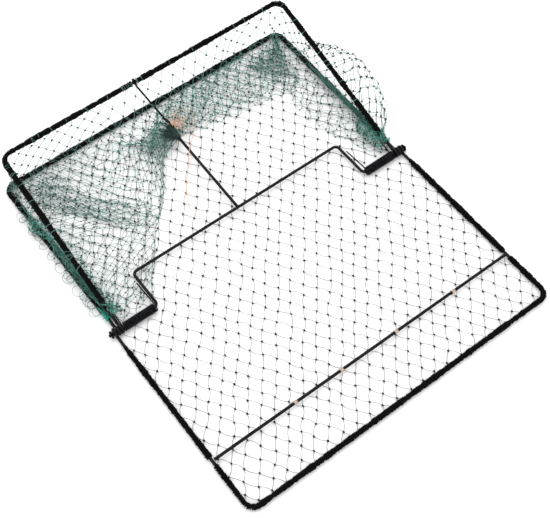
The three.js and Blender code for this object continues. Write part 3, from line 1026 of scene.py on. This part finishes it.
def bag_parts():
    """The bag's parts: name, shape and each vertex's share of the way up. Three kinds of bar, then knots."""
    points, fixed, depth, crease, hanging = bag_start()
    pairs = bag_bars()
    points = tighten(points, fixed, pairs)
    from_stem = np.hypot(points[:, 0] - BAIT_STEM[0], points[:, 1] - BAIT_STEM[1])
    lowered = points[:, 2].clip(None, BAIT_STEM_UNDER)
    points[:, 2] = np.where(from_stem < BAIT_STEM_ROOM, lowered, points[:, 2])
    limit = AXLE_END_X + 22.0
    points[:, 0] = points[:, 0].clip(-limit, limit)
    folded = crease[pairs].any(axis=1)
    hung = hanging[pairs].any(axis=1) & ~folded
    t = np.linspace(0, 1, BAR_STEPS)
    parts = []
    kinds = (
        ("ground", ~folded & ~hung, BAG_TWINE),
        ("folds", folded, BAG_TWINE),
        ("hanging", hung, HANGING_TWINE),
    )
    for name, chosen, radius in kinds:
        some = pairs[chosen]
        starts = points[some[:, 0]]
        ends = points[some[:, 1]]
        bar_depth = depth[some[:, 0]][:, None] * (1 - t) + depth[some[:, 1]][:, None] * t
        rings = starts[:, None] * (1 - t[:, None]) + ends[:, None] * t[:, None]
        share = np.repeat(follow_share(rings, bar_depth).ravel(), NET_SIDES)
        parts.append((name, slack_bars(starts, ends, BAG_BAR, radius, 0.24, 1.2), share))
    loose = (depth > 0) & (depth < 1)
    ways = RNG.normal(0, 1, (int(loose.sum()), 3))
    sizes = np.where(hanging, HANGING_KNOT, BAG_KNOT)[loose]
    share = np.repeat(follow_share(points[loose], depth[loose]), KNOT_STEPS * NET_SIDES)
    parts.append(("knots", knots_at(points[loose], sizes[:, None], ways), share))
    return parts


def make_bag(twine, crease_twine_painted_highlights, knot_twine):
    """Pieces between the two frames."""
    # The folds' twine carries painted highlights: lighter teal patches along its threads
    looks = {"ground": twine, "folds": crease_twine_painted_highlights, "hanging": twine, "knots": knot_twine}
    for name, shape, share in bag_parts():
        piece = add_mesh(f"bag_net_{name}", shape, looks[name])
        if name == "ground":
            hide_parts("bag_net")
        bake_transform(piece)


def hoops(shape, share, radius, start):
    """Thin loops of the edge twine round a lashed bar."""
    line = evenly(u_line(shape, start), 1.0)
    along, aside, up = bar_axes(line)
    at = (share * (len(line) - 1)).astype(int)
    angle = np.linspace(0, 2 * math.pi, 19)
    lean = RNG.normal(0, 1.0, (len(at), 1))
    out = aside[at][:, None] * np.cos(angle)[None, :, None] + up[at][:, None] * np.sin(angle)[None, :, None]
    reach = LASHING_RADIUS + 0.15 + 0.35 * np.sin(angle[None] + lean)
    path = line[at][:, None] + out * reach[..., None]
    path = path + along[at][:, None] * (lean * np.cos(angle)[None] + 0.25 * angle[None])[..., None]
    path[..., 2] = path[..., 2].clip(radius, None)
    return tubes(path, radius, 6)


SIDE_BUNDLES = (("left", -1, 24.0, 205.0, 34), ("right", 1, 24.0, 215.0, 34))


def side_bundle(side, near, far, count):
    """Loose strands bunched along the top of the rear half's side bar."""
    steps = 44
    s = np.linspace(near, far, steps)[None, :]
    x = np.interp(s, [0, REAR["length"]], [REAR["eye"], REAR["corner"]])
    spread = np.sin(math.pi * (s - near) / (far - near)) ** 0.5
    lane = RNG.uniform(-1, 1, (count, 1))
    height = RNG.uniform(0, 1, (count, 1))
    sway = np.zeros((count, steps))
    lift = np.zeros((count, steps))
    for length in (62.0, 34.0, 19.0):
        sway = sway + np.sin(2 * math.pi * s / length + RNG.uniform(0, 6.3, (count, 1)))
        lift = lift + np.sin(2 * math.pi * s / length + RNG.uniform(0, 6.3, (count, 1)))
    inwards = 3.2 + spread * (3.6 * lane + 0.9 * sway)
    high = LASHING_RADIUS * 1.05 + spread * (2.6 * height + 0.5 * lift)
    path = np.stack([side * (x - inwards), HINGE_Y + s + 0 * inwards, BAR_Z + high], -1)
    return tubes(path, BAG_TWINE, 6)


def make_side_bundles(twine):
    for name, side, near, far, count in SIDE_BUNDLES:
        piece = add_mesh(f"{name}_side_bundle", side_bundle(side, near, far, count), twine)
        settle(piece, "rear_base", "green_twine")


def scallops():
    """Open curls of slack twine off the left side bar of the rear half."""
    count = 30
    s = RNG.uniform(36, 245, count)
    x = -np.interp(s, [0, REAR["length"]], [REAR["eye"], REAR["corner"]])
    root = np.stack([x - RNG.uniform(2, 6, count), HINGE_Y + s, RNG.uniform(3.5, 8.0, count)], -1)
    wide = RNG.uniform(3.5, 7.5, (count, 1))
    angle = np.linspace(math.radians(-160), math.radians(160), 15)[None, :] + RNG.normal(0, 0.3, (count, 1))
    tilt = RNG.uniform(-0.5, 0.5, (count, 1))
    path = np.stack([
        root[:, 0:1] - wide * np.cos(angle) - 0.6 * wide,
        root[:, 1:2] + wide * np.sin(angle) * 1.2,
        root[:, 2:3] + wide * np.sin(angle) * tilt,
    ], -1)
    path[..., 2] = path[..., 2].clip(0.6, None)
    return tubes(path, BAG_TWINE, 6)


def make_edge_loops(twine):
    piece = add_mesh("left_scallops", scallops(), twine)
    settle(piece, "rear_base", "green_twine")
    for name, shape, body in (("rear", REAR, "rear_base"), ("capture", CAPTURE, "capture")):
        share = np.sort(RNG.uniform(0.06, 0.94, 44))
        piece = add_mesh(f"{name}_edge_loops", hoops(shape, share, 0.36, 20.0), twine)
        settle(piece, body, "green_twine")


def wandering_turns(line, turns, radius, drift, slide):
    """Turns bound round a line by hand, neither quite round nor quite even."""
    along, aside, up = bar_axes(line)
    angle = np.linspace(0, turns * 2 * math.pi, len(line))[:, None]
    wander = np.interp(np.linspace(0, 40, len(line)), np.arange(41), RNG.normal(0, 1, 41))[:, None]
    out = aside * np.cos(angle) + up * np.sin(angle)
    return line + out * (radius + drift * wander) + along * (slide * wander)


def net_tie(side):
    """A hank of the bag's edge twine, bound round the rear bar beside the hinge."""
    line = evenly(side_line(REAR, side, 24.0, 37.0), 0.1)
    path = wandering_turns(line, 9, 3.4, 0.25, 0.5)
    path[:, 2] = path[:, 2].clip(0.6, None)
    wound = tubes(path[None], 0.62, 6)
    count = 16
    root = line[RNG.integers(5, len(line) - 5, count)] + [0, 0, 3.0]
    sway = RNG.normal(0, 1, (count, 3)) * [4, 6, 1.5]
    t = np.linspace(0, 1, 9)[None, :, None]
    loops = root[:, None] + sway[:, None] * np.sin(math.pi * t)
    loops = loops + np.array([0, 0, 1.0]) * np.sin(math.pi * t) * RNG.uniform(1, 5, (count, 1, 1))
    loops = loops + RNG.normal(0, 1.2, (count, 1, 3)) * t
    loops[..., 2] = loops[..., 2].clip(0.6, None)
    return joined(wound, tubes(loops, 0.4, 6))


def make_net_ties(twine):
    for name, side in SIDES:
        piece = add_mesh(f"{name}_net_tie_hank", net_tie(side), twine)
        settle(piece, "rear_base", "green_twine", f"{name}_net_tie")


def make_trigger_hitch(twine, fold_twine):
    """The bag's centre is hitched to the arm behind the trigger: tight turns and a crumpled wad of mesh."""
    start = np.array([0.0, HINGE_Y + 212.0, ARM_END_Z - 1.4])
    end = np.array([0.0, HINGE_Y + 230.0, ARM_END_Z - 0.4])
    line = evenly([start, end], 0.1)
    wound = tubes(wandering_turns(line, 13, 3.1, 0.5, 0.0)[None], 0.8, 6)
    count = 90
    root = line[RNG.integers(5, len(line) - 5, count)] + [-1.5, 0, 0.5]
    sway = RNG.normal(0, 1, (count, 3)) * [4.5, 7, 3] + [-5.5, 6, -1]
    t = np.linspace(0, 1, 9)[None, :, None]
    loops = root[:, None] + sway[:, None] * np.sin(math.pi * t) + RNG.normal(0, 3.0, (count, 1, 3)) * t
    loops[..., 2] = loops[..., 2].clip(8.0, None)
    drawn = 44
    start = line[RNG.integers(0, len(line), drawn)] + [-3.0, 0, -1.5]
    angle = RNG.uniform(math.radians(95), math.radians(238), drawn)
    reach = RNG.uniform(22, 62, drawn)
    end = start + np.stack([reach * np.cos(angle), reach * np.sin(angle) * 0.8, 0 * angle], -1)
    end[:, 2] = RNG.uniform(5.5, 8.5, drawn)
    way = RNG.normal(0, 1, (drawn, 1, 3)) * [3.5, 5, 1.2]
    folds = start[:, None] * (1 - t) + end[:, None] * t + way * np.sin(math.pi * t)
    folds[..., 2] = folds[..., 2].clip(5.0, None)
    fan = add_mesh("trigger_net_folds", tubes(folds, BAG_TWINE, NET_SIDES), fold_twine)
    settle(fan, "rear_base", "green_twine")
    piece = add_mesh("trigger_net_hitch", joined(wound, tubes(loops, 0.42, 6)), twine)
    settle(piece, "rear_base", "green_twine")


def make_thread_knot(thread):
    """The bait thread's hitch round the arm's eye: a few turns and slack loops."""
    centre = np.array([5.0, HINGE_Y + ARM_END + 1.0, ARM_END_Z + 2.8])
    parts = []
    for lean, mean in ((0.0, 2.4), (0.9, 2.0), (-0.8, 2.7)):
        turned = centre + [lean * 1.4, lean, 0.4]
        parts.append(ring(turned, mean, 0.42, turns=1.6, pitch=1.1, segments=24, sides=8))
    count = 14
    t = np.linspace(0, 1, 15)[None, :, None]
    reach = RNG.normal(0, 1, (count, 1, 3)) * [9, 7, 1.0] + [19, 3, -7]
    wide = RNG.normal(0, 1, (count, 1, 3)) * [5, 9, 1.0]
    loops = centre + reach * np.sin(math.pi * t) + wide * np.sin(2 * math.pi * t)
    loops = loops + RNG.normal(0, 1.0, (count, 1, 3)) * t
    loops[..., 2] = loops[..., 2].clip(9.0, None)
    parts.append(tubes(loops, 0.24, 6))
    piece = add_mesh("bait_thread_hitch", joined(*parts), thread)
    settle(piece, "rear_base", "tan_thread")


# ---------------------------------------------------------------- camera, floor and light

CAMERA_PLACE = Vector((-0.472, -0.6929, 1.3135))
CAMERA_LOOK = Vector((0.30092, 0.42944, -0.85148))
CAMERA_ROLL = math.radians(-2.23)
CAMERA_LENS = 72.3


def make_camera():
    data = bpy.data.cameras.new("camera")
    data.lens = CAMERA_LENS
    data.sensor_width = 36.0
    data.clip_end = 20.0
    camera = add_object("camera", data)
    look = CAMERA_LOOK.to_track_quat("-Z", "Y").to_matrix().to_4x4()
    camera.matrix_world = Matrix.Translation(CAMERA_PLACE) @ look @ Matrix.Rotation(CAMERA_ROLL, 4, "Z")
    bpy.context.scene.camera = camera


def make_floor():
    points = np.array([[-1, -1, 0], [1, -1, 0], [1, 1, 0], [-1, 1, 0]], float) * 6000.0
    points[:, 2] = -0.4
    piece = add_mesh("studio_floor", (points, np.array([[0, 1, 2, 3]])), paper_floor())


def area_light(name, place, target, size, power):
    data = bpy.data.lights.new(name, "AREA")
    data.shape = "DISK"
    data.size = size
    data.energy = power
    light = add_object(name, data)
    way = Vector(target) - Vector(place)
    light.matrix_world = Matrix.Translation(place) @ way.to_track_quat("-Z", "Y").to_matrix().to_4x4()


def make_light():
    world = bpy.data.worlds.new("studio")
    world.use_nodes = True
    tree = world.node_tree
    tree.nodes.clear()
    sky = node(tree, "ShaderNodeBackground", {"Color": linear(0xFFFFFF), "Strength": 1.2})
    node(tree, "ShaderNodeOutputWorld", {"Surface": sky.outputs["Background"]})
    bpy.context.scene.world = world
    # Standard, so that thin dark lines keep their width on a white floor
    bpy.context.scene.view_settings.view_transform = "Standard"
    area_light("overhead", (0.3, 0.6, 1.9), (0, 0, 0), 1.6, 9.0)
    area_light("side", (-1.6, 0.9, 1.1), (0, 0, 0), 0.9, 3.0)


def main():
    enamel = enamelled_steel()
    oxide = oiled_steel("wire_blackened", 0x060606, 0x171718, 0.28)
    spring = oiled_steel("spring_wire_blackened", 0x0C0C0E, 0x2A2A2E, 0.22)
    cord = staple_cord()
    base_twine = twisted_twine("nylon_twine_grey", 0x363938, 0x757876, 0.1)
    base_knot = twisted_twine("nylon_knot_black", 0x050606, 0x1A1C1B, 0.05)
    bag_twine = twisted_twine("nylon_twine_grey_green", 0x335550, 0x68988E, 0.1, 0.04)
    # The crease twine: the net's own dark green, with lighter teal patches along the threads as painted
    # highlights on the folds
    crease_twine_painted_highlights = twisted_twine("nylon_twine_green_painted_highlights", 0x1C463F, 0x5AB0A0, 0.2, 0.12)
    bag_knot = twisted_twine("nylon_knot_green_black", 0x0A1211, 0x1D403A, 0.1, 0.05)
    bundle_twine = twisted_twine("nylon_twine_dark_green", 0x12312B, 0x3A7C6F, 0.2, 0.12)
    tie_twine = twisted_twine("nylon_twine_teal", 0x12806E, 0x35BDA2, 0.3)
    thread = twisted_twine("cotton_thread_waxed", 0xC98D68, 0xF0CBB0, 0.2)
    pale_thread = twisted_twine("cotton_thread_plain", 0xB59A88, 0xE3D2C6, 0.2)
    make_camera()
    make_bait_thread(thread)
    make_thread_knot(thread)
    make_frames(enamel)
    make_lashings(cord)
    make_yoke(enamel)
    make_arm(enamel)
    make_crossbar(enamel)
    make_springs(spring)
    make_retaining_rings(oxide)
    make_pin(oxide)
    make_lever(oxide)
    make_pivot(oxide)
    make_crossbar_ties(pale_thread)
    make_base_net(base_twine, base_knot)
    make_bag(bag_twine, crease_twine_painted_highlights, bag_knot)
    make_edge_loops(bag_twine)
    make_side_bundles(bundle_twine)
    make_net_ties(tie_twine)
    make_trigger_hitch(bag_knot, bag_twine)
    make_floor()
    make_light()


main()
